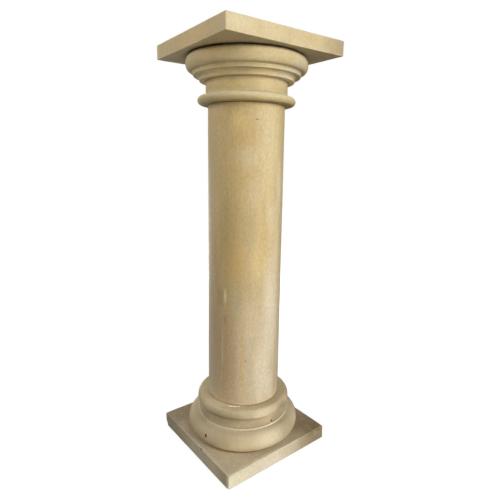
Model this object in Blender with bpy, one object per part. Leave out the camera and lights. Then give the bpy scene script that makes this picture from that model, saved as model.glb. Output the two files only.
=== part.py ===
"""Doric column pedestal, built up from five pieces of stone.

A square plinth, a turned base, a plain round shaft, a turned capital and a
square abacus stand on each other. Metres, +Z up, origin at the centre of the
underside. The plinth is square to X and Y.
"""
import math

import bmesh
import bpy

# Heights, from the ground up
plinth_thickness = 0.0345
lower_torus_height = 0.0457
lower_fillet_height = 0.0037
scotia_height = 0.0218
upper_torus_height = 0.0254
shaft_length = 0.7264
astragal_height = 0.0196
necking_height = 0.0333
lower_annulet_height = 0.0116
upper_annulet_height = 0.0091
echinus_height = 0.0344
abacus_thickness = 0.0333
joint_gap = 0.0003

# The shaft's radius, and how far the mouldings stand out from its face
shaft_radius = 0.0920
lower_torus_projection = 0.0523
upper_torus_projection = 0.0281
astragal_projection = 0.0246
necking_projection = 0.0051
echinus_projection = 0.0516

# Rounds: how high the belly stands above the foot, and how far the round
# draws in from its belly to its top and to its foot
lower_torus_belly = 0.0195
lower_torus_top_draw = 0.0235
lower_torus_foot_draw = 0.0148
upper_torus_belly = 0.0100
upper_torus_top_draw = 0.0105
upper_torus_foot_draw = 0.0140
astragal_belly = 0.0095
astragal_top_draw = 0.0125
astragal_foot_draw = 0.0098
echinus_belly = 0.0160
echinus_top_draw = 0.0119
echinus_foot_draw = 0.0104

# Hollow faces of the two annulets, drawn in to their lips
upper_annulet_draw = 0.0049
lower_annulet_draw = 0.0095

# Level steps inwards, from one moulding to the next
torus_to_fillet_step = 0.0038
torus_to_scotia_step = 0.0026
echinus_to_annulet_step = 0.0017
annulet_to_annulet_step = 0.0051

# Square slabs, sized by the ledge they leave outside the turned pieces
plinth_ledge = 0.0092
abacus_overhang = 0.0136
abacus_turn_deg = -2.5
slab_edge_round = 0.0030

# Fineness of the turned surfaces
round_segments = 64
arc_step_deg = 18.0
smooth_angle_deg = 30.0

# Stone colours (sRGB) and finish
stone_looks = {
    "plinth_stone": ((0.80, 0.73, 0.59), 0.85),
    "base_stone": ((0.79, 0.71, 0.56), 0.80),
    "shaft_stone": ((0.78, 0.68, 0.49), 0.45),
    "capital_stone": ((0.79, 0.70, 0.52), 0.80),
    "abacus_stone": ((0.82, 0.74, 0.56), 0.85),
}


def clear_scene():
    for old in list(bpy.data.objects):
        bpy.data.objects.remove(old, do_unlink=True)


def linear(channel):
    """Turn one sRGB channel into the linear value a shader takes."""
    if channel <= 0.04045:
        return channel / 12.92
    return ((channel + 0.055) / 1.055) ** 2.4


def stone(name):
    colour, roughness = stone_looks[name]
    material = bpy.data.materials.new(name)
    material.use_nodes = True
    shader = material.node_tree.nodes["Principled BSDF"]
    shader.inputs["Base Color"].default_value = (*[linear(c) for c in colour], 1.0)
    shader.inputs["Roughness"].default_value = roughness
    shader.inputs["Metallic"].default_value = 0.0
    return material


def add_object(name, mesh, stone_name, height):
    """Put a finished mesh in the scene with its stone, standing at a height."""
    mesh.materials.append(stone(stone_name))
    piece = bpy.data.objects.new(name, mesh)
    piece.location.z = height
    bpy.context.collection.objects.link(piece)
    return piece


def arc(centre_r, centre_z, reach, rise, start_deg, end_deg):
    """Points (radius, height) along an elliptical arc, both ends included."""
    steps = math.ceil(abs(end_deg - start_deg) / arc_step_deg)
    points = []
    for step in range(steps + 1):
        angle = math.radians(start_deg + (end_deg - start_deg) * step / steps)
        points.append((centre_r + reach * math.cos(angle), centre_z + rise * math.sin(angle)))
    return points


def round_outline(belly_radius, foot, height, belly, top_draw, foot_draw):
    """A torus, bead or cushion, from its top edge over its belly to its foot."""
    upper = arc(belly_radius - top_draw, foot + belly, top_draw, height - belly, 90, 0)
    lower = arc(belly_radius - foot_draw, foot + belly, foot_draw, belly, 0, -90)
    return upper + lower[1:]


def annulet_outline(top_radius, foot, height, draw):
    """A ring with a hollow face, wide at its top and drawn in to its lip."""
    return arc(top_radius, foot, draw, height, 90, 180)


def turned_piece(name, outline, stone_name, height):
    """Spin an outline, run from the top centre down to the bottom centre."""
    form = bmesh.new()
    verts = [form.verts.new((radius, 0.0, z)) for radius, z in outline]
    edges = [form.edges.new(pair) for pair in zip(verts, verts[1:])]
    bmesh.ops.spin(form, geom=verts + edges, cent=(0, 0, 0), axis=(0, 0, 1),
                   angle=2 * math.pi, steps=round_segments, use_duplicate=False)
    bmesh.ops.remove_doubles(form, verts=form.verts, dist=1e-6)
    bmesh.ops.recalc_face_normals(form, faces=form.faces)
    mesh = bpy.data.meshes.new(name)
    form.to_mesh(mesh)
    form.free()
    mesh.shade_smooth()
    mesh.set_sharp_from_angle(angle=math.radians(smooth_angle_deg))
    return add_object(name, mesh, stone_name, height)


def slab(name, side, thickness, stone_name, height):
    """A square slab with softened edges, standing on its own underside."""
    form = bmesh.new()
    bmesh.ops.create_cube(form, size=1.0)
    bmesh.ops.scale(form, vec=(side, side, thickness), verts=form.verts)
    bmesh.ops.translate(form, vec=(0, 0, thickness / 2), verts=form.verts)
    mesh = bpy.data.meshes.new(name)
    form.to_mesh(mesh)
    form.free()
    piece = add_object(name, mesh, stone_name, height)
    edge = piece.modifiers.new("softened edges", "BEVEL")
    edge.width = slab_edge_round
    edge.segments = 2
    edge.limit_method = "NONE"
    return piece


def make_plinth():
    side = 2 * (shaft_radius + lower_torus_projection + plinth_ledge)
    slab("plinth", side, plinth_thickness, "plinth_stone", 0.0)
    return plinth_thickness


def make_base(height):
    """Lower torus, fillet, scotia and upper torus, turned as one piece."""
    fillet_foot = lower_torus_height
    fillet_top = fillet_foot + lower_fillet_height
    scotia_top = fillet_top + scotia_height
    base_top = scotia_top + upper_torus_height
    lower_torus_radius = shaft_radius + lower_torus_projection
    upper_torus_radius = shaft_radius + upper_torus_projection
    fillet_radius = lower_torus_radius - lower_torus_top_draw - torus_to_fillet_step
    scotia_radius = upper_torus_radius - upper_torus_foot_draw - torus_to_scotia_step
    outline = [(0.0, base_top)]
    outline += round_outline(upper_torus_radius, scotia_top, upper_torus_height,
                             upper_torus_belly, upper_torus_top_draw, upper_torus_foot_draw)
    outline += arc(fillet_radius, scotia_top, fillet_radius - scotia_radius, scotia_height, 180, 270)
    outline += [(fillet_radius, fillet_foot)]
    outline += round_outline(lower_torus_radius, 0.0, lower_torus_height,
                             lower_torus_belly, lower_torus_top_draw, lower_torus_foot_draw)
    outline += [(0.0, 0.0)]
    turned_piece("base", outline, "base_stone", height)
    return height + base_top


def make_shaft(height):
    outline = [(0.0, shaft_length), (shaft_radius, shaft_length), (shaft_radius, 0.0), (0.0, 0.0)]
    turned_piece("shaft", outline, "shaft_stone", height)
    return height + shaft_length


def make_capital(height):
    """Astragal, necking, two annulets and echinus, turned as one piece."""
    necking_top = astragal_height + necking_height
    upper_annulet_foot = necking_top + lower_annulet_height
    echinus_foot = upper_annulet_foot + upper_annulet_height
    capital_top = echinus_foot + echinus_height
    necking_radius = shaft_radius + necking_projection
    echinus_radius = shaft_radius + echinus_projection
    upper_annulet_radius = echinus_radius - echinus_foot_draw - echinus_to_annulet_step
    lower_annulet_radius = upper_annulet_radius - upper_annulet_draw - annulet_to_annulet_step
    outline = [(0.0, capital_top)]
    outline += round_outline(echinus_radius, echinus_foot, echinus_height,
                             echinus_belly, echinus_top_draw, echinus_foot_draw)
    outline += annulet_outline(upper_annulet_radius, upper_annulet_foot,
                               upper_annulet_height, upper_annulet_draw)
    outline += annulet_outline(lower_annulet_radius, necking_top,
                               lower_annulet_height, lower_annulet_draw)
    outline += [(necking_radius, necking_top), (necking_radius, astragal_height)]
    outline += round_outline(shaft_radius + astragal_projection, 0.0, astragal_height,
                             astragal_belly, astragal_top_draw, astragal_foot_draw)
    outline += [(0.0, 0.0)]
    turned_piece("capital", outline, "capital_stone", height)
    return height + capital_top


def make_abacus(height):
    side = 2 * (shaft_radius + echinus_projection + abacus_overhang)
    piece = slab("abacus", side, abacus_thickness, "abacus_stone", height)
    piece.rotation_euler.z = math.radians(abacus_turn_deg)


def make_column():
    clear_scene()
    plinth_top = make_plinth()
    base_top = make_base(plinth_top + joint_gap)
    shaft_top = make_shaft(base_top + joint_gap)
    capital_top = make_capital(shaft_top + joint_gap)
    make_abacus(capital_top + joint_gap)


make_column()
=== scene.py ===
import math

import bpy
import numpy as np
from mathutils import Matrix, Vector, noise


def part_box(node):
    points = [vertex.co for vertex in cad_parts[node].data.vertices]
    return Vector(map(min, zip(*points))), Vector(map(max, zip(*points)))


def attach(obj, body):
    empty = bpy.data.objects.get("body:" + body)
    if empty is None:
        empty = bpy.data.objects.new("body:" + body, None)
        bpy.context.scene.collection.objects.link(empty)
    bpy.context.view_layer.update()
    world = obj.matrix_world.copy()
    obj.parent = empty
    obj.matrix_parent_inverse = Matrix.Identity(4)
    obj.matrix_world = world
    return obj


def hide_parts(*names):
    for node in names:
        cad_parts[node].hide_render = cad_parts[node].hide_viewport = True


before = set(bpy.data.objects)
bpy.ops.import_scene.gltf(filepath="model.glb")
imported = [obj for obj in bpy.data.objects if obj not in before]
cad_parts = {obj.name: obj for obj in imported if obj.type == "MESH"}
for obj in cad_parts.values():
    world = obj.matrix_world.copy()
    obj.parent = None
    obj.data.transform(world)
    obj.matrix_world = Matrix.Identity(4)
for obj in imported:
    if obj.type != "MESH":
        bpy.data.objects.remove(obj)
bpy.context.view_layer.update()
print("frame loaded, nodes:", ", ".join(sorted(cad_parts)))

# Metres throughout. Bearings are degrees round the column, anticlockwise from +X as seen from above.
cameraBearing = 232.98      # where the camera stands, seen from the column


# Small tools for outlines, which are lists of (radius, height) run from the top down

# how far apart their points stand, and the radius of the smallest ring on a flat end
spacing = {"arc": 0.0012, "straight": 0.002, "step": 0.001, "fine": 0.0005, "bend": 0.0004, "flatEnd": 0.012}
innerRing = 0.02


def arcRun(centreR, centreZ, reach, rise, startDeg, endDeg):
    sweep = math.radians(abs(endDeg - startDeg))
    steps = max(6, round(sweep * (reach + rise) / 2 / spacing["arc"]))
    points = []
    for i in range(steps + 1):
        a = math.radians(startDeg + (endDeg - startDeg) * i / steps)
        points.append((centreR + reach * math.cos(a), centreZ + rise * math.sin(a)))
    return points


def straightRun(start, end, gap=spacing["straight"]):
    steps = max(1, round(math.dist(start, end) / gap))
    return [(start[0] + (end[0] - start[0]) * i / steps, start[1] + (end[1] - start[1]) * i / steps)
            for i in range(steps + 1)]


def topFace(level, rim):
    # from the axis out to the rim
    return [(0.0, level)] + straightRun((innerRing, level), rim, spacing["flatEnd"])


def underFace(rim, level):
    # from the rim back to the axis
    return straightRun(rim, (innerRing, level), spacing["flatEnd"]) + [(0.0, level)]


def shortened(run, distance):
    # the run without its last stretch of that length
    run = list(run)
    while len(run) > 1:
        step = math.dist(run[-1], run[-2])
        if step > distance:
            t = distance / step
            run[-1] = tuple(a + (b - a) * t for a, b in zip(run[-1], run[-2]))
            return run
        distance -= step
        run.pop()
    return run


def joinRuns(runs, softness):
    # softness[i] is how far back the corner between runs i and i+1 is rubbed round
    outline = list(runs[0])
    for nextRun, reach in zip(runs[1:], softness):
        corner = outline[-1]
        before = shortened(outline, reach)
        after = shortened(list(reversed(nextRun)), reach)[::-1]
        steps = max(3, round(reach / spacing["bend"]))
        bend = []
        for i in range(1, steps):
            t = i / steps
            bend.append(tuple((1 - t) ** 2 * a + 2 * t * (1 - t) * c + t * t * b
                              for a, c, b in zip(before[-1], corner, after[0])))
        outline = before + bend + after
    return outline


def bulgeRun(look, name, bellyR, foot, height):
    # a swelling moulding: the height of its belly, and how far it draws in above and below
    belly, topDraw, footDraw = [look[name + part] for part in ("Belly", "TopDraw", "FootDraw")]
    upper = arcRun(bellyR - topDraw, foot + belly, topDraw, height - belly, 90, 0)
    lower = arcRun(bellyR - footDraw, foot + belly, footDraw, belly, 0, -90)
    return upper + lower[1:]


def pointAt(bearingDeg, radius, height):
    a = math.radians(bearingDeg)
    return Vector((radius * math.cos(a), radius * math.sin(a), height))


# Wear, all of it taken off the surface, so that a piece stays inside its solid

wear = {
    "waviness": 0.0003, "slowShare": 0.35, "quickShare": 0.15, "quickSize": 0.35,      # two noises together
    "pitRim": 1.25, "pitFloor": 0.50,       # where a pit's slope starts and ends, as shares of its half size
    "pitRagged": 0.30, "pitGrain": 700, "pitShift": 50, "breakRough": 0.25, "breakGrain": 420,
}


def unevenness(points, normals, size, seed):
    # a slow noise and a quick one together
    shift = Vector((seed * 3.1, seed * 1.7, seed * 0.9))
    cut = np.empty(len(points))
    for i, p in enumerate(points):
        v = Vector(p)
        quick = noise.noise(v / (size * wear["quickSize"]) - shift)
        cut[i] = 0.5 + wear["slowShare"] * noise.noise(v / size + shift) + wear["quickShare"] * quick
    return points - normals * (cut.clip(0, 1) * wear["waviness"])[:, None]


def sinkPits(points, normals, pits):
    # each pit is an oval hole with a ragged rim
    rim, floor = wear["pitRim"], wear["pitFloor"]
    for pit in pits:
        centre = np.array(pit["at"])
        tall = np.array((0.0, 0.0, 1.0))
        near = np.linalg.norm(points - centre, axis=1) < 3 * max(pit["width"], pit["height"])
        for i in np.nonzero(near)[0]:
            gap = points[i] - centre
            rise = gap @ tall
            across = np.linalg.norm(gap - rise * tall)
            grain = noise.noise(Vector(gap * wear["pitGrain"]) + Vector(centre * wear["pitShift"]))
            ragged = 1 + wear["pitRagged"] * grain
            d = math.hypot(across / (pit["width"] / 2), rise / (pit["height"] / 2)) / ragged
            if d < rim:
                t = min(1.0, max(0.0, (rim - d) / (rim - floor)))
                points[i] = points[i] - normals[i] * pit["depth"] * t * t * (3 - 2 * t)
    return points


def breakEdges(points, chips):
    # each chip is a small flat break: what stands beyond its plane is taken off
    for chip in chips:
        facing = np.array(chip["facing"], float)
        facing /= np.linalg.norm(facing)
        centre = np.array(chip["at"])
        side = np.linalg.norm(points - centre, axis=1)
        for i in np.nonzero(side < chip["length"] / 2)[0]:
            fade = (side[i] / (chip["length"] / 2)) ** 2
            rough = wear["breakRough"] * noise.noise(Vector(points[i]) * wear["breakGrain"])
            over = (points[i] - centre) @ facing + chip["depth"] * (1 - fade + rough * (1 - fade))
            if over > 0:
                points[i] = points[i] - facing * over
    return points


def pieceFrom(name, points, faces, crease=45):
    mesh = bpy.data.meshes.new(name)
    mesh.from_pydata([tuple(p) for p in points], [], faces)
    mesh.validate()
    mesh.shade_smooth()
    mesh.set_sharp_from_angle(angle=math.radians(crease))
    piece = bpy.data.objects.new(name, mesh)
    bpy.context.collection.objects.link(piece)
    return piece


def markFloats(piece, name, values):
    layer = piece.data.attributes.new(name, "FLOAT", "POINT")
    layer.data.foreach_set("value", np.asarray(values, np.float32))


def turning(profile, window):
    # how far the outline turns within a short stretch, in radians: above 0 in a hollow, below 0 on a lip
    along = np.concatenate([[0.0], np.cumsum(np.linalg.norm(np.diff(profile, axis=0), axis=1))])
    behind = np.stack([np.interp(along - window, along, profile[:, k]) for k in (0, 1)], 1)
    ahead = np.stack([np.interp(along + window, along, profile[:, k]) for k in (0, 1)], 1)
    before, after = profile - behind, ahead - profile
    cross = before[:, 0] * after[:, 1] - before[:, 1] * after[:, 0]
    return np.arctan2(cross, (before * after).sum(1))


# the rooms are how far the fine cuts reach round a pit or chip, as shares of its size
lathe = {
    "fineCut": 0.0008, "fineColumns": 17, "pitRoom": 1.2, "chipRoom": 0.6, "ringRoom": 1.5,
    "wavinessSize": 0.045, "hollowStretch": 0.0030, "lipStretch": 0.0016,
}


def turnOnLathe(name, outline, look, pits=(), chips=()):
    # the outline is spun into rings of points; rings and columns lie closer together round pits and chips
    spots = [(Vector(p["at"]), lathe["pitRoom"] * max(p["width"], p["height"])) for p in pits]
    spots += [(Vector(c["at"]), lathe["chipRoom"] * c["length"]) for c in chips]
    bearings = set(np.round(np.arange(look["sides"]) * 360 / look["sides"], 4))
    for at, reach in spots:
        middle = math.degrees(math.atan2(at.y, at.x))
        half = math.degrees(reach / math.hypot(at.x, at.y))
        bearings |= set(np.round(np.linspace(middle - half, middle + half, lathe["fineColumns"]) % 360, 4))
    bearings = np.radians(sorted(bearings))
    profile = [outline[1]]
    for a, b in zip(outline[1:], outline[2:-1]):
        mid = ((a[0] + b[0]) / 2, (a[1] + b[1]) / 2)
        fine = any(abs(mid[0] - math.hypot(at.x, at.y)) + abs(mid[1] - at.z) < lathe["ringRoom"] * reach
                   for at, reach in spots)
        cuts = max(1, round(math.dist(a, b) / lathe["fineCut"])) if fine else 1
        profile += [(a[0] + (b[0] - a[0]) * i / cuts, a[1] + (b[1] - a[1]) * i / cuts)
                    for i in range(1, cuts + 1)]
    profile = np.array(profile)
    slope = np.gradient(profile, axis=0)
    slope /= np.linalg.norm(slope, axis=1)[:, None].clip(1e-9)
    outward = np.stack([-slope[:, 1], slope[:, 0]], 1)
    rows, columns = len(profile), len(bearings)
    cosine, sine = np.cos(bearings), np.sin(bearings)
    points = np.empty((rows, columns, 3))
    normals = np.empty((rows, columns, 3))
    for target, pair in ((points, profile), (normals, outward)):
        target[..., 0] = pair[:, :1] * cosine
        target[..., 1] = pair[:, :1] * sine
        target[..., 2] = pair[:, 1:]
    points = points.reshape(-1, 3)
    normals = normals.reshape(-1, 3)
    points = unevenness(points, normals, lathe["wavinessSize"], look["seed"])
    points = sinkPits(points, normals, pits)
    points = breakEdges(points, chips)
    faces = []
    for r in range(rows - 1):
        for c in range(columns):
            d = (c + 1) % columns
            faces.append((r * columns + c, (r + 1) * columns + c, (r + 1) * columns + d, r * columns + d))
    top, bottom = rows * columns, rows * columns + 1
    points = np.vstack([points, [(0, 0, points[0][2]), (0, 0, points[-1][2])]])
    last = (rows - 1) * columns
    for c in range(columns):
        d = (c + 1) % columns
        faces.append((top, c, d))
        faces.append((bottom, last + d, last + c))
    piece = pieceFrom(name, points, faces)
    # the hollow mark carries painted shade in creases, the lip mark wear and a painted highlight along edges
    hollow, lipWearHighlight = turning(profile, lathe["hollowStretch"]), -turning(profile, lathe["lipStretch"])
    for mark, turns in (("hollow", hollow), ("rubbedEdgeHighlight", lipWearHighlight)):
        markFloats(piece, mark, np.concatenate([np.repeat(turns, columns), [0.0, 0.0]]))
    return piece


# cuts stand close in the zone along the edges and round pits; wear sets how unevenly the edges are rubbed
slabCuts = {
    "edgeZone": 0.0065, "fineCut": 0.0009, "coarseCut": 0.006,
    "pitCut": 0.0012, "pitCuts": 5, "leastGap": 0.0003, "cornerReach": 0.012, "rubbedEdgeHighlightReach": 0.005,
    "slowWear": 22, "quickWear": 70, "wavinessSize": 0.05,
}


def slabLines(length, extra=()):
    # places of the cuts along one side: close together near both ends, wider in the middle
    edgeZone = slabCuts["edgeZone"]
    edgeCuts = math.ceil(edgeZone / slabCuts["fineCut"])
    middle = length - 2 * edgeZone
    steps = max(2, math.ceil(middle / slabCuts["coarseCut"]))
    lines = [-length / 2 + edgeZone * i / edgeCuts for i in range(edgeCuts)]
    lines += [-middle / 2 + middle * i / steps for i in range(steps + 1)]
    lines += [length / 2 - edgeZone * i / edgeCuts for i in range(edgeCuts)]
    for place in extra:
        near = [place + k * slabCuts["pitCut"] for k in range(-slabCuts["pitCuts"], slabCuts["pitCuts"] + 1)]
        lines += [value for value in near if abs(value) < length / 2 - edgeZone]
    lines = sorted(lines)
    kept = [lines[0]]
    for value in lines[1:-1]:
        if min(value - kept[-1], lines[-1] - value) > slabCuts["leastGap"]:
            kept.append(value)
    return kept + [lines[-1]]


def cutSlab(name, low, high, side, look, pits=(), chips=()):
    # a block of fine cuts, its edges rubbed round by an uneven amount, then turned and set in place
    thickness = high.z - low.z
    middle = (low + high) / 2
    turn = Matrix.Rotation(math.radians(look["turnDeg"]), 3, "Z")
    local = [turn.transposed() @ (Vector(s["at"]) - middle) for s in [*pits, *chips]]
    xs = slabLines(side, [v.x for v in local])
    ys = slabLines(side, [v.y for v in local])
    zs = slabLines(thickness)
    lines = (xs, ys, zs)
    last = [len(places) - 1 for places in lines]
    index, sharp, faces = {}, [], []

    def corner(steps):
        if steps not in index:
            index[steps] = len(sharp)
            sharp.append([places[n] for places, n in zip(lines, steps)])
        return index[steps]

    # two sides of the block for each axis, wound so that both face outwards
    for axis in range(3):
        first, second = (axis + 1) % 3, (axis + 2) % 3
        for level, winding in ((0, (0, 1, 3, 2)), (last[axis], (0, 2, 3, 1))):
            for i in range(last[first]):
                for j in range(last[second]):
                    square = []
                    for k in winding:
                        steps = {axis: level, first: i + k // 2, second: j + k % 2}
                        square.append(corner((steps[0], steps[1], steps[2])))
                    faces.append(square)
    half = np.array((side / 2, side / 2, thickness / 2))
    points = np.array(sharp)
    normals = np.empty_like(points)
    edgeNear = np.empty(len(points))
    shift = Vector((look["seed"], 0, 0))
    for n, p in enumerate(points):
        slow = noise.noise(Vector(p) * slabCuts["slowWear"] + shift)
        worn = 0.5 + 0.5 * slow + 0.25 * noise.noise(Vector(p) * slabCuts["quickWear"])
        rub = look["edgeRub"] + look["edgeRubSpread"] * min(1.0, max(0.0, worn))
        if (abs(abs(p[:2]) - half[:2]) < slabCuts["cornerReach"]).all():
            rub += look["cornerRub"]
        if p[2] < 0:
            rub *= look["footRub"]
        inner = np.clip(p, rub - half, half - rub)
        away = p - inner
        away /= max(np.linalg.norm(away), 1e-9)
        points[n] = inner + away * rub
        normals[n] = away
        edgeNear[n] = 1 - sorted(half - abs(points[n]))[1] / slabCuts["rubbedEdgeHighlightReach"]
    points = points @ np.array(turn).T + np.array(middle)
    normals = normals @ np.array(turn).T
    points = unevenness(points, normals, slabCuts["wavinessSize"], look["seed"])
    points = sinkPits(points, normals, pits)
    points = breakEdges(points, chips)
    piece = pieceFrom(name, points, faces)
    # nearness to an edge, which paints the edges paler as wear and as a painted highlight
    markFloats(piece, "rubbedEdgeHighlight", edgeNear.clip(0, 1))
    return piece


def setPiece(piece, node, stone):
    piece.data.materials.append(stone)
    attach(piece, "root")
    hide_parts(node)
    print(piece.name, "made:", len(piece.data.polygons), "faces")


# Stone finishes. Colours are given as sRGB, 0 to 1.

def linearColour(colour):
    return (*[c / 12.92 if c <= 0.04045 else ((c + 0.055) / 1.055) ** 2.4 for c in colour], 1.0)


class StoneNodes:
    # builds one stone's nodes; the calls take numbers or sockets, and maths to bump give one back
    def __init__(self, name):
        self.material = bpy.data.materials.new(name)
        self.material.use_nodes = True
        self.tree = self.material.node_tree
        self.shader = self.tree.nodes["Principled BSDF"]
        self.place = self.tree.nodes.new("ShaderNodeTexCoord").outputs["Object"]

    def feed(self, socket, value):
        if isinstance(value, bpy.types.NodeSocket):
            self.tree.links.new(value, socket)
        else:
            socket.default_value = value

    def add(self, kind, inputs, operation=None):
        node = self.tree.nodes.new("ShaderNode" + kind)
        if operation:
            node.operation = operation
        for key, value in inputs.items():
            self.feed(node.inputs[key], value)
        return node

    def maths(self, operation, a, b=0.0):
        return self.add("Math", {0: a, 1: b}, operation).outputs[0]

    def gap(self, a, b):
        return self.maths("ABSOLUTE", self.maths("SUBTRACT", a, b))

    def vector(self, operation, a, b):
        outputs = self.add("VectorMath", {0: a, 1: b}, operation).outputs
        return outputs["Value" if operation == "LENGTH" else "Vector"]

    def height(self):
        return self.add("SeparateXYZ", {0: self.place}).outputs["Z"]

    def drawnOut(self, place, share):
        # heights count for that share only, which draws a pattern out upright; at 0 they don't count
        return self.vector("MULTIPLY", place, (1.0, 1.0, share))

    def noiseField(self, place, scale, detail=4.0, roughness=0.55):
        inputs = {"Vector": place, "Scale": scale, "Detail": detail, "Roughness": roughness}
        return self.add("TexNoise", inputs).outputs["Fac"]

    def noiseVector(self, place, scale, detail=3.0):
        return self.add("TexNoise", {"Vector": place, "Scale": scale, "Detail": detail}).outputs["Color"]

    def grains(self, place, scale):
        return self.add("TexVoronoi", {"Vector": place, "Scale": scale}).outputs["Distance"]

    def between(self, value, low, high, outLow=0.0, outHigh=1.0):
        # runs smoothly from outLow to outHigh while the value goes from low to high
        node = self.tree.nodes.new("ShaderNodeMapRange")
        node.interpolation_type = "SMOOTHSTEP"
        keys = ("Value", "From Min", "From Max", "To Min", "To Max")
        for key, part in zip(keys, (value, low, high, outLow, outHigh)):
            self.feed(node.inputs[key], part)
        return node.outputs["Result"]

    def mix(self, amount, a, b):
        node = self.tree.nodes.new("ShaderNodeMix")
        node.data_type = "RGBA"
        self.feed(node.inputs[0], amount)
        self.feed(node.inputs[6], linearColour(a) if isinstance(a, tuple) else a)
        self.feed(node.inputs[7], linearColour(b) if isinstance(b, tuple) else b)
        return node.outputs[2]

    def roughened(self, value, wavy, amount):
        return self.maths("ADD", value, self.maths("MULTIPLY", wavy, amount))

    def shaded(self, colour, field, low, high, depth):
        # lighter and darker by up to that share, whatever the tone underneath
        share = self.between(field, low, high, 1 - depth, 1 + depth)
        return self.add("VectorMath", {0: colour, "Scale": share}, "SCALE").outputs["Vector"]

    def warped(self, place, scale, reach):
        # the same place, pushed about by a slow noise, so that edges of patches wander
        push = self.vector("SUBTRACT", self.noiseVector(place, scale), (0.5, 0.5, 0.5))
        return self.vector("ADD", place, self.vector("MULTIPLY", push, (reach, reach, reach)))

    def patch(self, place, at, size):
        # 1 at a place, fading to 0 at the half sizes: across and up, or along x, y and z
        away = self.vector("SUBTRACT", place, tuple(at))
        away = self.vector("MULTIPLY", away, (1 / size[0], 1 / size[-2], 1 / size[-1]))
        return self.between(self.vector("LENGTH", away, (0, 0, 0)), 0.15, 1.0, 1.0, 0.0)

    def marked(self, colour, place, marks):
        # soft marks: each one's place, half sizes, tone and amount
        for at, size, tone, amount in marks:
            colour = self.mix(self.maths("MULTIPLY", self.patch(place, at, size), amount), colour, tone)
        return colour

    def lined(self, colour, gap, reach, amount, tone):
        # the tone where the gap is nothing, gone where it comes to the reach
        return self.mix(self.between(gap, 0.0, reach, amount, 0.0), colour, tone)

    def pitted(self, colour, pits, look):
        # dark inside each pit, with a soft rim
        for pit in pits:
            across = 0.8 * pit["width"] + 0.7 * pit["depth"]
            mask = self.patch(self.place, pit["at"], (across, pit["height"]))
            colour = self.mix(self.between(mask, 0.10, 0.55, 0.0, look["pitAmount"]), colour, look["pitTone"])
        return colour

    def attribute(self, name):
        node = self.tree.nodes.new("ShaderNodeAttribute")
        node.attribute_name = name
        return node.outputs["Fac"]

    def bump(self, height, strength, distance, over=None):
        node = self.add("Bump", {"Strength": strength, "Distance": distance, "Height": height})
        if over is not None:
            self.feed(node.inputs["Normal"], over)
        return node.outputs["Normal"]

    def finish(self, colour, roughness, normal, look):
        self.feed(self.shader.inputs["Base Color"], colour)
        self.feed(self.shader.inputs["Roughness"], roughness)
        self.feed(self.shader.inputs["Normal"], normal)
        self.shader.inputs["Specular IOR Level"].default_value = look["gloss"]
        self.shader.inputs["Sheen Weight"].default_value = look.get("sheen", 0.0)
        return self.material


# what the sandstones share: a wander is a slow noise's scale and its push, a bump is strength and depth,
# and a range is where in a noise a tone sets in and where it is full
sandstone = {
    "cloudWander": (9.0, 0.03), "cloudRange": (0.36, 0.66), "markWander": (30.0, 0.012),
    "raggedScale": 140.0, "bandRagged": 0.7, "bandRaggedMost": 0.002, "ringRagged": 0.5,
    "lipRagged": 0.8, "lipRange": (0.55, 1.10), "creaseRagged": 0.4, "creaseRange": (0.25, 1.10),
    "warmRange": (0.45, 0.70), "mottleRange": (0.30, 0.70), "crumbRange": (0.32, 0.68),
    "grainScale": 900.0, "grainRange": (0.30, 0.70), "grainBump": (0.30, 0.0003),
    "speckWander": (300.0, 0.002), "speckScale": 230.0, "speckSize": 0.22,
    "speckCloudScale": 55.0, "speckCloudRange": (0.58, 0.68),
    "roughnessSpread": 0.06, "swellScale": 60.0, "swellBump": (0.35, 0.0006),
}


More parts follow.
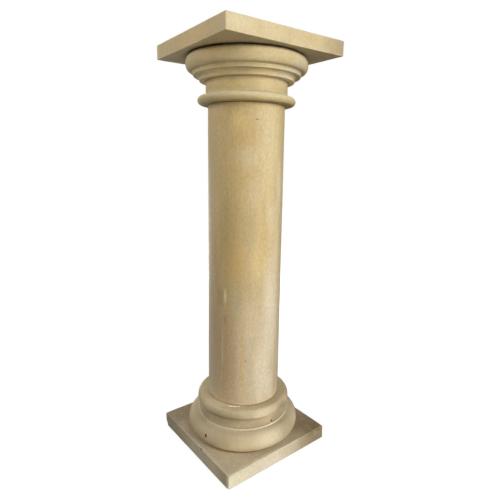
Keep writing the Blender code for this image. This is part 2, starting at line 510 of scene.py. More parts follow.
def mattStone(name, look, marks=(), bands=(), rings=(), pits=()):
    # fine-grained sandstone, rubbed smooth: slow clouds of tone, small mottling, sandy crumb and dark pits,
    # paler along rubbed arrises as wear and painted highlight, darker in creases as painted shade, and bands
    # and rings at set places
    s = StoneNodes(name)
    k = sandstone
    clouds = s.noiseField(s.warped(s.place, *k["cloudWander"]), look["cloudScale"], 3.0, 0.5)
    colour = s.mix(s.between(clouds, *k["cloudRange"]), look["darkTone"], look["paleTone"])
    colour = s.marked(colour, s.warped(s.place, *k["markWander"]), marks)
    height = s.height()
    wavy = s.maths("SUBTRACT", s.noiseField(s.place, k["raggedScale"], 3.0, 0.6), 0.5)
    for level, reach, amount, tone in bands:
        gap = s.roughened(s.gap(height, level), wavy, min(reach * k["bandRagged"], k["bandRaggedMost"]))
        colour = s.lined(colour, gap, reach, amount, look[tone + "Tone"])
    axisGap = s.vector("LENGTH", s.drawnOut(s.place, 0.0), (0, 0, 0))
    for radius, level, reach, amount, tone in rings:
        gap = s.roughened(s.gap(axisGap, radius), wavy, reach * k["ringRagged"])
        gap = s.maths("ADD", gap, s.gap(height, level))
        colour = s.lined(colour, gap, reach, amount, look[tone + "Tone"])
    mottle = s.noiseField(s.place, look["mottleScale"], 5.0, 0.6)
    colour = s.mix(s.between(mottle, *k["warmRange"], 0.0, look["mottleAmount"]), colour, look["warmTone"])
    colour = s.shaded(colour, mottle, *k["mottleRange"], look["mottleDepth"])
    crumb = s.noiseField(s.place, look["crumbScale"], 4.0, 0.65)
    colour = s.shaded(colour, crumb, *k["crumbRange"], look["crumbDepth"])
    # arrises paler where rubbed: wear and a painted highlight along every edge and lip
    rubbedEdgeHighlight = s.roughened(s.attribute("rubbedEdgeHighlight"), wavy, k["lipRagged"])
    colour = s.mix(s.between(rubbedEdgeHighlight, *k["lipRange"], 0.0, look["rubbedEdgeHighlightAmount"]), colour, look["lipWearHighlightTone"])
    # painted shade: creases darkened by how far the outline turns inward
    hollow = s.roughened(s.attribute("hollow"), wavy, k["creaseRagged"])
    colour = s.mix(s.between(hollow, *k["creaseRange"], 0.0, look["creaseAmount"]), colour, look["creaseShadeTone"])
    colour = s.pitted(colour, pits, look)
    grain = s.noiseField(s.place, k["grainScale"], 2.0, 0.7)
    colour = s.shaded(colour, grain, *k["grainRange"], look["grainDepth"])
    specks = s.grains(s.warped(s.place, *k["speckWander"]), k["speckScale"])
    specks = s.between(specks, 0.0, k["speckSize"], 1.0, 0.0)
    rare = s.between(s.noiseField(s.place, k["speckCloudScale"], 2.0), *k["speckCloudRange"])
    specks = s.maths("MULTIPLY", specks, rare)
    colour = s.mix(s.maths("MULTIPLY", specks, look["speckAmount"]), colour, look["speckTone"])
    rough, spread = look["roughness"], k["roughnessSpread"]
    rough = s.between(mottle, *k["mottleRange"], rough - spread, rough + spread)
    soft = s.bump(s.noiseField(s.place, k["swellScale"], 4.0, 0.6), *k["swellBump"])
    return s.finish(colour, rough, s.bump(grain, *k["grainBump"], soft), look)


shaftLow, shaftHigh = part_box("shaft")
shaftRadius = shaftHigh.x


def roundMarks(look, rows):
    # rows of bearing, radius, height, half sizes, tone and amount, with the place and tone worked out
    return [(pointAt(bearing, radius, level), size, look[tone + "Tone"], amount)
            for bearing, radius, level, size, tone, amount in rows]


def onSlab(place, low, high):
    # a place given as shares of the slab's half sides and thickness
    return Vector((place[0] * high.x, place[1] * high.y, low.z + place[2] * (high.z - low.z)))


def slabMarks(look, low, high):
    return [(onSlab(place, low, high), size, look[tone + "Tone"], amount)
            for place, size, tone, amount in look["marks"]]


# Plinth, the square slab on the ground

plinthLook = {
    "turnDeg": 0.0, "seed": 2,
    "edgeRub": 0.0010, "edgeRubSpread": 0.0014, "cornerRub": 0.0006, "footRub": 0.4,
    "darkTone": (0.705, 0.635, 0.505), "paleTone": (0.765, 0.700, 0.575), "warmTone": (0.750, 0.655, 0.505),
    "creaseShadeTone": (0.30, 0.24, 0.15), "lipWearHighlightTone": (0.870, 0.820, 0.700), "pitTone": (0.48, 0.37, 0.27),
    "speckTone": (0.50, 0.41, 0.29), "endTone": (0.575, 0.500, 0.380), "nearTone": (0.925, 0.872, 0.755),
    "shadyTone": (0.600, 0.510, 0.385),
    "creamTone": (0.940, 0.900, 0.770), "sandTone": (0.830, 0.765, 0.630), "greyTone": (0.805, 0.757, 0.645),
    "coolTone": (0.625, 0.595, 0.510), "deepTone": (0.485, 0.395, 0.245), "duskTone": (0.585, 0.517, 0.415),
    "cloudScale": 9.0, "mottleScale": 55.0, "mottleAmount": 0.25, "mottleDepth": 0.04,
    "crumbScale": 190.0, "crumbDepth": 0.08, "grainDepth": 0.06, "speckAmount": 0.30,
    "rubbedEdgeHighlightAmount": 0.45, "creaseAmount": 0.0, "pitAmount": 0.95,
    "roughness": 0.80, "gloss": 0.30,
    # painted shade round the foot of the base and a shady line along the top: reach, amount and tone
    "footRing": (0.007, 0.75, "creaseShade"), "topBand": (0.0014, 0.10, "shady"),
    "pits": [
        {"at": (-0.1525, -0.0351, 0.0315), "width": 0.0040, "height": 0.0045, "depth": 0.0018},
    ],
    # worn places, as shares of the slab's half side and thickness, and the way the break faces
    "chips": [
        {"place": (-1, 1, 0.17), "facing": (-1, 1, -0.6), "depth": 0.006, "length": 0.036},
        {"place": (1, -1, 1), "facing": (1, -1, 1.2), "depth": 0.002, "length": 0.018},
        {"place": (-1, -0.98, 0), "facing": (-1, -0.4, -0.8), "depth": 0.0022, "length": 0.020},
    ],
    # soft marks: x and y as shares of the half side and height as a share of the thickness,
    # half sizes (across and up, or x, y and z), tone and amount
    "marks": [
        # painted light: the front face lighter towards its near corner
        ((-0.40, -1, 0.5), (0.100, 0.014, 0.080), "near", 0.76),
        ((-0.05, -1, 0.5), (0.090, 0.014, 0.080), "near", 0.82),
        ((-0.93, -1, 0.5), (0.080, 0.014, 0.060), "cream", 0.90),
        ((0.15, -1, 0.6), (0.045, 0.025), "warm", 0.30),
        # painted shade: the front face darker towards its right end
        ((0.88, -1, 0.5), (0.092, 0.014, 0.060), "end", 0.98),
        ((-1, -0.55, 0.5), (0.014, 0.065, 0.060), "sand", 0.90),
        ((-1, -0.12, 0.5), (0.014, 0.080, 0.060), "grey", 0.85),
        # painted shade towards the back of the left face
        ((-1, 0.80, 0.5), (0.014, 0.090, 0.060), "cool", 0.80),
        ((-1, 0.60, 0.1), (0.090, 0.018), "shady", 0.35),
        # on the top: painted shade at the far corners and behind the base, lighter towards the front
        ((-0.84, 0.84, 1), (0.095, 0.095, 0.010), "dusk", 0.88),
        ((0.86, -0.84, 1), (0.095, 0.095, 0.010), "deep", 0.88),
        ((0.90, -0.40, 1), (0.085, 0.085, 0.010), "shady", 0.70),
        ((-0.30, 0.95, 1), (0.100, 0.100, 0.010), "shady", 0.50),
        ((-0.86, -0.86, 1), (0.130, 0.130, 0.010), "sand", 0.62),
        ((0.10, -0.95, 1), (0.110, 0.060, 0.010), "sand", 0.40),
    ],
}


def makePlinth():
    low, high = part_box("plinth")
    look = plinthLook
    chips = [{**c, "at": onSlab(c["place"], low, high)} for c in look["chips"]]
    piece = cutSlab("plinthStone", low, high, high.x - low.x, look, look["pits"], chips)
    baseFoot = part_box("base")[1].x - baseLook["lowerTorusFootDraw"]
    bands = [(high.z, *look["topBand"])]
    rings = [(baseFoot, high.z, *look["footRing"])]
    stone = mattStone("plinthSandstone", look, slabMarks(look, low, high), bands, rings, look["pits"])
    setPiece(piece, "plinth", stone)


# Base, turned in one piece: lower torus, fillet, scotia and upper torus

baseLook = {
    "lowerTorusHeight": 0.0457, "lowerTorusBelly": 0.0195,
    "lowerTorusTopDraw": 0.0235, "lowerTorusFootDraw": 0.0148,
    "filletHeight": 0.0037, "scotiaHeight": 0.0218,
    "upperTorusBelly": 0.0100, "upperTorusTopDraw": 0.0105, "upperTorusFootDraw": 0.0140,
    "upperTorusProjection": 0.0281, "torusToFillet": 0.0038, "torusToScotia": 0.0026,
    # how far back each corner of the outline is rubbed round, from the top down
    "cornerRubs": (0.0020, 0.0013, 0.0013, 0.0012, 0.0028, 0.0018, 0.0008),
    "sides": 288, "seed": 3,
    "darkTone": (0.742, 0.668, 0.517), "paleTone": (0.812, 0.738, 0.590), "warmTone": (0.800, 0.698, 0.525),
    "creaseShadeTone": (0.30, 0.23, 0.13), "speckTone": (0.48, 0.39, 0.26), "hollowTone": (0.520, 0.440, 0.320),
    "lipWearHighlightTone": (0.940, 0.890, 0.765), "pitTone": (0.36, 0.21, 0.10), "roseTone": (0.835, 0.750, 0.630),
    "footTone": (0.800, 0.725, 0.545), "creamTone": (0.925, 0.862, 0.710), "shadyTone": (0.585, 0.502, 0.365),
    "cloudScale": 10.0, "mottleScale": 60.0, "mottleAmount": 0.16, "mottleDepth": 0.03,
    "crumbScale": 200.0, "crumbDepth": 0.06, "grainDepth": 0.05, "speckAmount": 0.20,
    "rubbedEdgeHighlightAmount": 0.35, "creaseAmount": 0.15, "pitAmount": 0.95,
    "roughness": 0.74, "gloss": 0.32,
    "pits": [
        {"bearing": 193.6, "level": 0.0630, "width": 0.0032, "height": 0.0070, "depth": 0.0026},
        {"bearing": 273.4, "level": 0.0862, "width": 0.0034, "height": 0.0034, "depth": 0.0024},
    ],
    # dark and pale lines round it: height, reach, amount and tone; the dark ones painted shade at the torus
    # foot and under the upper torus, the lip one wear and a painted highlight
    "bands": [
        (0.0348, 0.0024, 0.80, "creaseShade"),
        (0.1020, 0.0110, 0.40, "hollow"),
        (0.0890, 0.0100, 0.30, "hollow"),
        (0.0818, 0.0030, 0.42, "lipWearHighlight"),
    ],
    # soft marks: bearing, radius, height, half width and half height, tone and amount
    "marks": [
        (205, 0.140, 0.070, (0.060, 0.022), "rose", 0.6),
        (262, 0.146, 0.060, (0.070, 0.022), "rose", 0.7),
        (228, 0.144, 0.046, (0.070, 0.016), "foot", 0.6),
        # painted highlight on the lower torus's right front
        (259, 0.144, 0.070, (0.055, 0.040), "cream", 0.52),
        (212, 0.144, 0.076, (0.095, 0.026), "shady", 0.42),
        (288, 0.144, 0.064, (0.050, 0.050), "shady", 0.40),
        # painted highlight on the upper torus's right front
        (258, 0.118, 0.116, (0.045, 0.026), "cream", 0.62),
        (208, 0.118, 0.115, (0.070, 0.022), "shady", 0.44),
        (288, 0.118, 0.114, (0.035, 0.020), "shady", 0.75),
        (182, 0.115, 0.090, (0.060, 0.016), "shady", 0.42),
        (286, 0.112, 0.090, (0.032, 0.016), "shady", 0.42),
    ],
}


def baseOutline(foot, top):
    k = baseLook
    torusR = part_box("base")[1].x
    upperR = shaftRadius + k["upperTorusProjection"]
    filletFoot = foot + k["lowerTorusHeight"]
    filletTop = filletFoot + k["filletHeight"]
    scotiaTop = filletTop + k["scotiaHeight"]
    filletR = torusR - k["lowerTorusTopDraw"] - k["torusToFillet"]
    scotiaR = upperR - k["upperTorusFootDraw"] - k["torusToScotia"]
    upper = bulgeRun(k, "upperTorus", upperR, scotiaTop, top - scotiaTop)
    scotia = arcRun(filletR, scotiaTop, filletR - scotiaR, k["scotiaHeight"], 180, 270)
    lower = bulgeRun(k, "lowerTorus", torusR, foot, k["lowerTorusHeight"])
    runs = [
        topFace(top, upper[0]),
        upper,
        straightRun(upper[-1], scotia[0]),
        scotia,
        straightRun(scotia[-1], (filletR, filletFoot)),
        straightRun((filletR, filletFoot), lower[0]),
        lower,
        underFace(lower[-1], foot),
    ]
    return joinRuns(runs, k["cornerRubs"])


def radiusAt(outline, level):
    # how wide the outline is at that height
    rising = outline[::-1]
    return float(np.interp(level, [p[1] for p in rising], [p[0] for p in rising]))


def makeBase():
    low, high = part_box("base")
    look = baseLook
    outline = baseOutline(low.z, high.z)
    pits = [{**p, "at": pointAt(p["bearing"], radiusAt(outline, p["level"]), p["level"])}
            for p in look["pits"]]
    piece = turnOnLathe("baseStone", outline, look, pits)
    stone = mattStone("baseSandstone", look, roundMarks(look, look["marks"]), look["bands"], pits=pits)
    setPiece(piece, "base", stone)


mortarLook = {
    "bearing": 219.0, "length": 0.036, "height": 0.0030, "depth": 0.0040, "radius": 0.1005, "drift": 0.006,
    "rings": 30, "around": 12, "paleTone": (0.95, 0.92, 0.84), "darkTone": (0.84, 0.78, 0.66),
    "crumbScale": 700.0, "crumbBump": (0.5, 0.0004), "roughness": (0.8, 0.95), "gloss": 0.3,
}


def makeMortarFleck():
    # a dab of pointing left beside the joint at the shaft's foot
    look = mortarLook
    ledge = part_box("base")[1].z
    rings, around = look["rings"], look["around"]
    points, faces = [], []
    for i in range(rings + 1):
        t = i / rings
        bearing = look["bearing"] + math.degrees(look["length"] / look["radius"]) * (t - 0.5)
        lumpy = 0.55 + 0.45 * t + 0.5 * noise.noise(Vector((t * 9, 3, 1)))
        swell = math.sqrt(max(0.0, 1 - (2 * t - 1) ** 2)) * lumpy + 0.02
        for j in range(around):
            a = 2 * math.pi * j / around
            lump = 1 + 0.25 * noise.noise(Vector((t * 11, math.cos(a), math.sin(a))))
            radius = look["radius"] - look["drift"] * t + look["depth"] * 0.5 * swell * lump * math.cos(a)
            height = ledge + look["height"] * swell * lump * max(math.sin(a), -0.15)
            points.append(pointAt(bearing, radius, height))
    for i in range(rings):
        for j in range(around):
            m = (j + 1) % around
            faces.append((i * around + j, i * around + m, (i + 1) * around + m, (i + 1) * around + j))
    faces.append(tuple(reversed(range(around))))
    faces.append(tuple(rings * around + j for j in range(around)))
    piece = pieceFrom("mortarFleck", points, faces, 60)
    s = StoneNodes("limeMortar")
    crumb = s.noiseField(s.place, look["crumbScale"], 3.0, 0.6)
    colour = s.mix(s.between(crumb, 0.35, 0.7), look["paleTone"], look["darkTone"])
    rough = s.between(crumb, 0.3, 0.7, *look["roughness"])
    stone = s.finish(colour, rough, s.bump(crumb, *look["crumbBump"]), look)
    piece.data.materials.append(stone)
    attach(piece, "root")
    print("mortarFleck made:", len(piece.data.polygons), "faces")


# Shaft, a plain round drum of honed, veined stone

shaftLook = {
    "arrisRub": 0.0010, "ringSpacing": 0.005, "sides": 240, "seed": 5,
    "upperTone": (0.790, 0.688, 0.474), "lowerTone": (0.800, 0.722, 0.580),
    "ochreTone": (0.805, 0.665, 0.415), "goldTone": (0.875, 0.760, 0.500), "roseTone": (0.740, 0.620, 0.510),
    "paleTone": (0.870, 0.810, 0.680), "greyTone": (0.700, 0.655, 0.520), "veinTone": (0.700, 0.560, 0.350),
    "oliveTone": (0.715, 0.615, 0.405), "strawTone": (0.915, 0.848, 0.675),
    "brownTone": (0.620, 0.510, 0.350), "creamTone": (0.930, 0.880, 0.770),
    "pitTone": (0.30, 0.22, 0.12), "creaseShadeTone": (0.36, 0.28, 0.16), "shadyTone": (0.690, 0.570, 0.395),
    # a wander is a slow noise's scale and its push, and drawn out means how much heights count
    "wander": (7.0, 0.05), "driftScale": 6.0, "drift": 0.30, "toneChange": (0.28, 0.52),
    "cloudScale": 17.0, "cloudDrawnOut": 0.45, "ochreClouds": 0.40, "greyClouds": 0.35,
    "markWander": (25.0, 0.012), "streakWander": (12.0, 0.008),
    "streakScale": 110.0, "streakDrawnOut": 0.07, "streakDepth": 0.030, "ochreStreaks": 0.10,
    "mottleScale": 70.0, "mottleDrawnOut": 0.4, "roseMottle": 0.10, "goldMottle": 0.10,
    "veinScale": 18.0, "veinDrawnOut": 0.35, "veinWidth": 0.018, "veinAmount": 0.14,
    "crumbScale": 230.0, "crumbDrawnOut": 0.5, "crumbDepth": 0.085, "grainScale": 420.0, "grainDepth": 0.060,
    "swellScale": 50.0, "swellBump": (0.25, 0.0005),
    "jointShadeReach": 0.0020, "jointShadeAmount": 0.45, "pitAmount": 0.75,
    "roughness": 0.50, "roughnessLess": 0.05, "roughnessMore": 0.07, "gloss": 0.34, "sheen": 0.06,
    "pits": [
        {"bearing": 248.0, "level": 0.8206, "width": 0.0025, "height": 0.0022, "depth": 0.0015},
        {"bearing": 235.6, "level": 0.2500, "width": 0.0022, "height": 0.0026, "depth": 0.0015},
    ],
    "chips": [
        {"bearing": 309.0, "level": 0.6900, "depth": 0.0016, "length": 0.024},
    ],
    # soft marks and streaks: bearing, height, half width and half height, tone and amount
    "marks": [
        (182, 0.380, (0.034, 0.300), "brown", 0.45),
        (205, 0.270, (0.048, 0.230), "shady", 0.60),
        (225, 0.445, (0.100, 0.085), "olive", 0.36),
        # painted reflection along the left rim
        (150, 0.480, (0.050, 0.800), "pale", 0.35),
        # painted highlight down the right edge
        (304, 0.640, (0.015, 0.600), "pale", 0.30),
        (306, 0.690, (0.006, 0.010), "cream", 0.85),
        (188, 0.460, (0.006, 0.030), "olive", 0.70),
        (222, 0.814, (0.034, 0.036), "gold", 0.55),
        (240, 0.792, (0.018, 0.040), "ochre", 0.60),
        (226, 0.775, (0.030, 0.040), "ochre", 0.35),
        (233, 0.738, (0.050, 0.040), "pale", 0.28),
        (213, 0.713, (0.024, 0.034), "ochre", 0.40),
        (248, 0.652, (0.038, 0.050), "pale", 0.20),
        (208, 0.560, (0.040, 0.170), "olive", 0.65),
        (234, 0.570, (0.034, 0.110), "olive", 0.30),
        (266, 0.600, (0.026, 0.200), "gold", 0.15),
        # painted highlight on the right side
        (276, 0.605, (0.022, 0.070), "cream", 0.34),
        (224, 0.497, (0.036, 0.056), "ochre", 0.60),
        (253, 0.490, (0.028, 0.060), "gold", 0.50),
        (221, 0.395, (0.022, 0.070), "grey", 0.50),
        (203, 0.409, (0.008, 0.028), "pale", 0.75),
        (203, 0.357, (0.010, 0.028), "rose", 0.90),
        (203, 0.351, (0.006, 0.018), "brown", 0.60),
        (194, 0.405, (0.016, 0.040), "brown", 0.35),
        (198, 0.245, (0.0030, 0.130), "pale", 0.60),
        (231, 0.250, (0.0065, 0.140), "ochre", 0.68),
        # painted highlight down the right side, with the two rows below
        (277, 0.380, (0.034, 0.240), "cream", 0.52),
        (262, 0.215, (0.034, 0.120), "cream", 0.45),
        (279, 0.175, (0.022, 0.050), "cream", 0.45),
        (228, 0.140, (0.070, 0.040), "shady", 0.16),
        (249, 0.300, (0.012, 0.028), "grey", 0.30),
        # painted highlight on the upper right, with the two rows below
        (272, 0.770, (0.050, 0.190), "straw", 0.40),
        (293, 0.670, (0.018, 0.080), "cream", 0.35),
        (290, 0.500, (0.018, 0.350), "cream", 0.32),
        (253, 0.838, (0.003, 0.004), "cream", 0.60),
        (255, 0.468, (0.003, 0.004), "cream", 0.40),
    ],
}


def veinedStone(name, look, marks, pits):
    # honed ochre stone: the tone changes up the shaft, with wandering patches, upright streaks and speckle
    s = StoneNodes(name)
    height = s.height()
    wander = s.warped(s.place, *look["wander"])
    drift = s.maths("SUBTRACT", s.noiseField(wander, look["driftScale"], 3.0), 0.5)
    level = s.maths("ADD", height, s.maths("MULTIPLY", drift, look["drift"]))
    colour = s.mix(s.between(level, *look["toneChange"]), look["lowerTone"], look["upperTone"])
    clouds = s.noiseField(s.drawnOut(wander, look["cloudDrawnOut"]), look["cloudScale"], 4.0, 0.55)
    colour = s.mix(s.between(clouds, 0.52, 0.72, 0.0, look["ochreClouds"]), colour, look["ochreTone"])
    colour = s.mix(s.between(clouds, 0.28, 0.46, look["greyClouds"], 0.0), colour, look["greyTone"])
    colour = s.marked(colour, s.warped(s.place, *look["markWander"]), marks)
    upright = s.drawnOut(s.warped(s.place, *look["streakWander"]), look["streakDrawnOut"])
    streaks = s.noiseField(upright, look["streakScale"], 4.0, 0.60)
    colour = s.mix(s.between(streaks, 0.50, 0.70, 0.0, look["ochreStreaks"]), colour, look["ochreTone"])
    colour = s.shaded(colour, streaks, 0.30, 0.70, look["streakDepth"])
    mottle = s.noiseField(s.drawnOut(s.place, look["mottleDrawnOut"]), look["mottleScale"], 5.0, 0.65)
    colour = s.mix(s.between(mottle, 0.52, 0.72, 0.0, look["roseMottle"]), colour, look["roseTone"])
    colour = s.mix(s.between(mottle, 0.28, 0.46, look["goldMottle"], 0.0), colour, look["goldTone"])
    ridge = s.noiseField(s.drawnOut(wander, look["veinDrawnOut"]), look["veinScale"], 4.0, 0.6)
    colour = s.lined(colour, s.gap(ridge, 0.5), look["veinWidth"], look["veinAmount"], look["veinTone"])
    crumb = s.noiseField(s.drawnOut(s.place, look["crumbDrawnOut"]), look["crumbScale"], 4.0, 0.70)
    colour = s.shaded(colour, crumb, 0.32, 0.68, look["crumbDepth"])
    grain = s.noiseField(s.place, look["grainScale"], 3.0, 0.65)
    colour = s.shaded(colour, grain, 0.32, 0.68, look["grainDepth"])
    # painted shade along both joints, where the shaft meets the base and the capital
    ends = s.maths("MINIMUM", s.gap(height, shaftLow.z), s.gap(height, shaftHigh.z))
    colour = s.lined(colour, ends, look["jointShadeReach"], look["jointShadeAmount"], look["creaseShadeTone"])
    colour = s.pitted(colour, pits, look)
    rough = look["roughness"]
    rough = s.between(mottle, 0.3, 0.7, rough - look["roughnessLess"], rough + look["roughnessMore"])
    normal = s.bump(s.noiseField(s.place, look["swellScale"], 4.0, 0.6), *look["swellBump"])
    return s.finish(colour, rough, normal, look)


def makeShaft():
    low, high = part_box("shaft")
    look = shaftLook
    rub = look["arrisRub"]
    runs = [
        topFace(high.z, (shaftRadius, high.z)),
        straightRun((shaftRadius, high.z), (shaftRadius, low.z), look["ringSpacing"]),
        underFace((shaftRadius, low.z), low.z),
    ]
    pits = [{**p, "at": pointAt(p["bearing"], shaftRadius, p["level"])} for p in look["pits"]]
    chips = [{**c, "at": pointAt(c["bearing"], shaftRadius, c["level"]),
              "facing": pointAt(c["bearing"], 1, 0.1)} for c in look["chips"]]
    marks = roundMarks(look, [(row[0], shaftRadius, *row[1:]) for row in look["marks"]])
    piece = turnOnLathe("shaftStone", joinRuns(runs, [rub, rub]), look, pits, chips)
    setPiece(piece, "shaft", veinedStone("shaftVeinedStone", look, marks, pits))


# Capital, turned in one piece: astragal, necking, two annulets and echinus

capitalLook = {
    "astragalHeight": 0.0196, "astragalBelly": 0.0095, "astragalTopDraw": 0.0125, "astragalFootDraw": 0.0098,
    "astragalProjection": 0.0246, "neckingHeight": 0.0333, "neckingProjection": 0.0051,
    "lowerAnnuletHeight": 0.0116, "lowerAnnuletDraw": 0.0095, "annuletToAnnulet": 0.0051,
    "upperAnnuletHeight": 0.0091, "upperAnnuletDraw": 0.0049, "echinusToAnnulet": 0.0017,
    "echinusBelly": 0.0160, "echinusTopDraw": 0.0119, "echinusFootDraw": 0.0104,
    # how far back each corner of the outline is rubbed round, from the top down
    "cornerRubs": (0.0014, 0.0008, 0.0008, 0.0008, 0.0010, 0.0008, 0.0010, 0.0060, 0.0045, 0.0008),
    "sides": 288, "seed": 7,
    "darkTone": (0.752, 0.668, 0.472), "paleTone": (0.817, 0.733, 0.541), "warmTone": (0.803, 0.685, 0.474),
    "creaseShadeTone": (0.26, 0.19, 0.10), "jointTone": (0.06, 0.045, 0.03), "speckTone": (0.48, 0.38, 0.23),
    "lipWearHighlightTone": (0.910, 0.850, 0.690), "creamTone": (0.905, 0.850, 0.680), "shadyTone": (0.640, 0.560, 0.405),
    "greyTone": (0.810, 0.785, 0.700), "ochreTone": (0.800, 0.690, 0.440),
    "cloudScale": 10.0, "mottleScale": 60.0, "mottleAmount": 0.20, "mottleDepth": 0.04,
    "crumbScale": 200.0, "crumbDepth": 0.06, "grainDepth": 0.05, "speckAmount": 0.20,
    "rubbedEdgeHighlightAmount": 0.50, "creaseAmount": 0.35,
    "roughness": 0.74, "gloss": 0.32,
    # dark and pale lines round it: height, reach, amount and tone; the top one is the dark joint and painted
    # shade under the abacus, the bottom one painted shade under the astragal
    "bands": [
        (0.9656, 0.0095, 0.96, "joint"),
        (0.8760, 0.0125, 0.86, "cream"),
        (0.8584, 0.0014, 0.35, "creaseShade"),
    ],
    # soft marks: bearing, radius, height, half width and half height, tone and amount
    "marks": [
        (222, 0.127, 0.945, (0.060, 0.018), "shady", 0.30),
        (228, 0.112, 0.924, (0.060, 0.012), "shady", 0.35),
        # paler, cooler right end of the annulets and echinus: painted light
        (285, 0.110, 0.920, (0.060, 0.030), "grey", 0.40),
        (292, 0.128, 0.945, (0.050, 0.022), "grey", 0.40),
        (208, 0.100, 0.885, (0.050, 0.026), "ochre", 0.30),
    ],
}


def capitalOutline(foot, top):
    k = capitalLook
    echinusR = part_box("capital")[1].x
    neckingFoot = foot + k["astragalHeight"]
    neckingTop = neckingFoot + k["neckingHeight"]
    upperAnnuletFoot = neckingTop + k["lowerAnnuletHeight"]
    echinusFoot = upperAnnuletFoot + k["upperAnnuletHeight"]
    neckingR = shaftRadius + k["neckingProjection"]
    upperR = echinusR - k["echinusFootDraw"] - k["echinusToAnnulet"]
    lowerR = upperR - k["upperAnnuletDraw"] - k["annuletToAnnulet"]
    echinus = bulgeRun(k, "echinus", echinusR, echinusFoot, top - echinusFoot)
    upperHollow = arcRun(upperR, upperAnnuletFoot, k["upperAnnuletDraw"], k["upperAnnuletHeight"], 90, 180)
    lowerHollow = arcRun(lowerR, neckingTop, k["lowerAnnuletDraw"], k["lowerAnnuletHeight"], 90, 180)
    astragal = bulgeRun(k, "astragal", shaftRadius + k["astragalProjection"], foot, k["astragalHeight"])
    runs = [
        topFace(top, echinus[0]),
        echinus,
        straightRun(echinus[-1], upperHollow[0], spacing["fine"]),
        upperHollow,
        straightRun(upperHollow[-1], lowerHollow[0], spacing["step"]),
        lowerHollow,
        straightRun(lowerHollow[-1], (neckingR, neckingTop), spacing["step"]),
        straightRun((neckingR, neckingTop), (neckingR, neckingFoot)),
        straightRun((neckingR, neckingFoot), astragal[0], spacing["step"]),
        astragal,
        underFace(astragal[-1], foot),
    ]
    return joinRuns(runs, k["cornerRubs"])


def makeCapital():
    low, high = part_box("capital")
    look = capitalLook
    piece = turnOnLathe("capitalStone", capitalOutline(low.z, high.z), look)
    stone = mattStone("capitalSandstone", look, roundMarks(look, look["marks"]), look["bands"])
    setPiece(piece, "capital", stone)


# Abacus, the square slab on top, set a little out of line with the plinth

abacusLook = {
    "turnDeg": -2.5, "seed": 9,
    "edgeRub": 0.0008, "edgeRubSpread": 0.0012, "cornerRub": 0.0005, "footRub": 1.0,
    "darkTone": (0.790, 0.710, 0.530), "paleTone": (0.840, 0.765, 0.590), "warmTone": (0.820, 0.710, 0.520),
    "creaseShadeTone": (0.16, 0.12, 0.07), "lipWearHighlightTone": (0.930, 0.880, 0.750), "speckTone": (0.50, 0.40, 0.26),
    "sandTone": (0.890, 0.835, 0.690), "ochreTone": (0.800, 0.680, 0.470), "honeyTone": (0.868, 0.750, 0.540),
    "shadyTone": (0.600, 0.520, 0.390),
    "cloudScale": 9.0, "mottleScale": 55.0, "mottleAmount": 0.25, "mottleDepth": 0.03,
    "crumbScale": 190.0, "crumbDepth": 0.055, "grainDepth": 0.05, "speckAmount": 0.20,
    "rubbedEdgeHighlightAmount": 0.65, "creaseAmount": 0.0,
    "roughness": 0.80, "gloss": 0.30,
    # painted shade round the top of the echinus and a shady line along the foot: reach, amount and tone
    "echinusRings": [(0.020, 0.40, "creaseShade"), (0.008, 0.70, "creaseShade")],
    "footBand": (0.0016, 0.38, "shady"),
    # soft marks: x and y as shares of the half side and height as a share of the thickness,
    # half sizes (across and up, or x, y and z), tone and amount
    "marks": [
        ((-0.80, -0.97, 0.6), (0.050, 0.025), "sand", 0.60),
        ((0.40, -1.00, 0.5), (0.060, 0.025), "ochre", 0.30),
        ((-0.97, -0.10, 0.5), (0.200, 0.050), "honey", 0.70),
        ((0.90, -1.00, 0.5), (0.090, 0.020, 0.050), "shady", 0.66),
        ((-1.00, 0.60, 0.5), (0.020, 0.130, 0.050), "shady", 0.30),
        ((0.80, -0.80, 0.0), (0.070, 0.070, 0.008), "shady", 0.30),
    ],
}


def makeAbacus():
    low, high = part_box("abacus")
    look = abacusLook
    t = math.radians(abs(look["turnDeg"]))
    side = (high.x - low.x) / (math.cos(t) + math.sin(t))
    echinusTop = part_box("capital")[1].x - capitalLook["echinusTopDraw"]
    rings = [(echinusTop, low.z, *ring) for ring in look["echinusRings"]]
    bands = [(low.z, *look["footBand"])]
    piece = cutSlab("abacusStone", low, high, side, look)
    stone = mattStone("abacusSandstone", look, slabMarks(look, low, high), bands, rings)
    setPiece(piece, "abacus", stone)


# Studio: pale floor, white surround, soft lamps and the camera

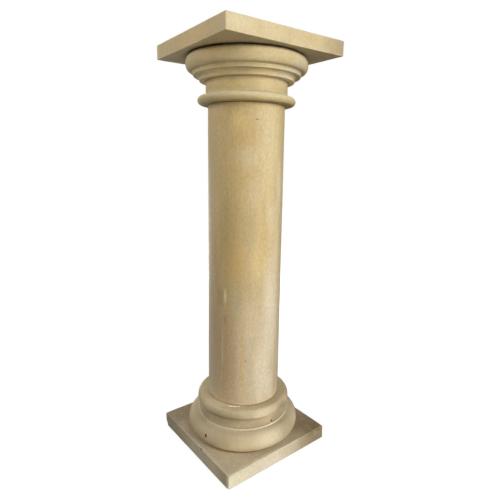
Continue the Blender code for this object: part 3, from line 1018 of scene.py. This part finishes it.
studio = {
    "floorRadius": 6.0, "floorSides": 72, "floorTone": (0.55, 0.55, 0.55), "surround": 1.0,
    # the floor glows by glow[0] as far as glowReach[0] from the column, and by glow[1] beyond glowReach[1]
    "glow": (0.86, 1.05), "glowReach": (0.35, 1.1),
    # name, bearing from the camera (to the right is positive), elevation, distance, size, aim height,
    # watts and colour
    "lamps": [
        ("frontLow", 15, 0, 1.3, 0.5, 0.15, 5.1, (1.00, 0.985, 0.955)),
        ("frontHigh", 15, 0, 1.3, 0.5, 1.05, 3.3, (1.00, 0.985, 0.955)),
        ("keyLow", 45, 0, 1.3, 0.5, 0.15, 5.3, (0.96, 0.98, 1.00)),
        ("keyRaised", 45, 20, 1.6, 0.5, 0.8, 8.5, (0.94, 0.955, 1.00)),
        ("keySide", 60, 20, 1.6, 0.5, 0.8, 7.2, (0.83, 0.87, 1.00)),
        ("leftRaised", -75, 30, 2.0, 0.9, 0.5, 11.7, (1.00, 0.985, 0.965)),
        ("leftBackLow", -105, 0, 1.5, 0.9, 0.2, 4.1, (0.90, 0.94, 1.00)),
        ("leftBack", -105, 30, 2.0, 0.9, 0.5, 9.2, (0.86, 0.91, 1.00)),
        ("leftRim", -152, -8, 2.2, 0.9, 0.5, 10.0, (0.86, 0.93, 1.00)),
        ("back", 180, 20, 2.4, 1.4, 0.5, 22.0, (1.00, 1.00, 1.00)),
    ],
    "camera": {"distance": 1.0424, "height": 0.7303, "panDeg": 1.841, "tiltDeg": 10.268, "rollDeg": -1.024,
               "sensor": 36, "lens": 30.183, "shiftX": -0.0165, "shiftY": -0.0259},
}


def makeStudio():
    scene = bpy.context.scene
    scene.view_settings.view_transform = "Standard"
    sides = studio["floorSides"]
    rim = [pointAt(360 * i / sides, studio["floorRadius"], 0.0) for i in range(sides)]
    mesh = bpy.data.meshes.new("studioFloor")
    mesh.from_pydata(rim, [], [tuple(range(len(rim)))])
    floor = bpy.data.objects.new("studioFloor", mesh)
    bpy.context.collection.objects.link(floor)
    paper = StoneNodes("palePaper")
    paper.shader.inputs["Base Color"].default_value = linearColour(studio["floorTone"])
    paper.shader.inputs["Roughness"].default_value = 1.0
    paper.shader.inputs["Specular IOR Level"].default_value = 0.0
    paper.shader.inputs["Emission Color"].default_value = (1, 1, 1, 1)
    away = paper.vector("LENGTH", paper.place, (0, 0, 0))
    glow = paper.between(away, *studio["glowReach"], *studio["glow"])
    paper.feed(paper.shader.inputs["Emission Strength"], glow)
    mesh.materials.append(paper.material)
    floor.visible_diffuse = False
    floor.visible_glossy = False
    floor.visible_shadow = False
    world = bpy.data.worlds.new("whiteSurround")
    world.use_nodes = True
    background = world.node_tree.nodes["Background"]
    background.inputs["Color"].default_value = (1, 1, 1, 1)
    background.inputs["Strength"].default_value = studio["surround"]
    world.cycles_visibility.diffuse = False
    world.cycles_visibility.glossy = False
    scene.world = world
    for name, bearing, elevation, distance, size, aim, watts, tone in studio["lamps"]:
        rise = math.radians(elevation)
        towards = pointAt(cameraBearing + bearing, math.cos(rise), math.sin(rise))
        lamp = bpy.data.objects.new(name, bpy.data.lights.new(name, "AREA"))
        lamp.data.shape = "SQUARE"
        lamp.data.size = size
        lamp.data.energy = watts
        lamp.data.color = tone
        lamp.location = Vector((0, 0, aim)) + towards * distance
        lamp.rotation_euler = (-towards).to_track_quat("-Z", "Y").to_euler()
        lamp.visible_camera = False
        bpy.context.collection.objects.link(lamp)


def makeCamera():
    k = studio["camera"]
    turn = Matrix.Rotation(math.radians(cameraBearing + 90), 3, "Z")
    roll = Matrix.Rotation(math.radians(-k["rollDeg"]), 3, "Y")
    tilt = Matrix.Rotation(math.radians(k["tiltDeg"]), 3, "X")
    pan = Matrix.Rotation(math.radians(k["panDeg"]), 3, "Z")
    aim = roll @ tilt @ pan
    right, forward, up = [turn @ Vector(aim[i]) for i in range(3)]
    camera = bpy.data.objects.new("camera", bpy.data.cameras.new("camera"))
    place = turn @ Vector((0, -k["distance"], k["height"]))
    camera.matrix_world = Matrix.Translation(place) @ Matrix((right, up, -forward)).transposed().to_4x4()
    camera.data.sensor_width = k["sensor"]
    camera.data.lens = k["lens"]
    camera.data.shift_x = k["shiftX"]
    camera.data.shift_y = k["shiftY"]
    bpy.context.collection.objects.link(camera)
    bpy.context.scene.camera = camera


makePlinth()
makeBase()
makeMortarFleck()
makeShaft()
makeCapital()
makeAbacus()
makeStudio()
makeCamera()
print("studio and camera set")

bpy.context.view_layer.update()
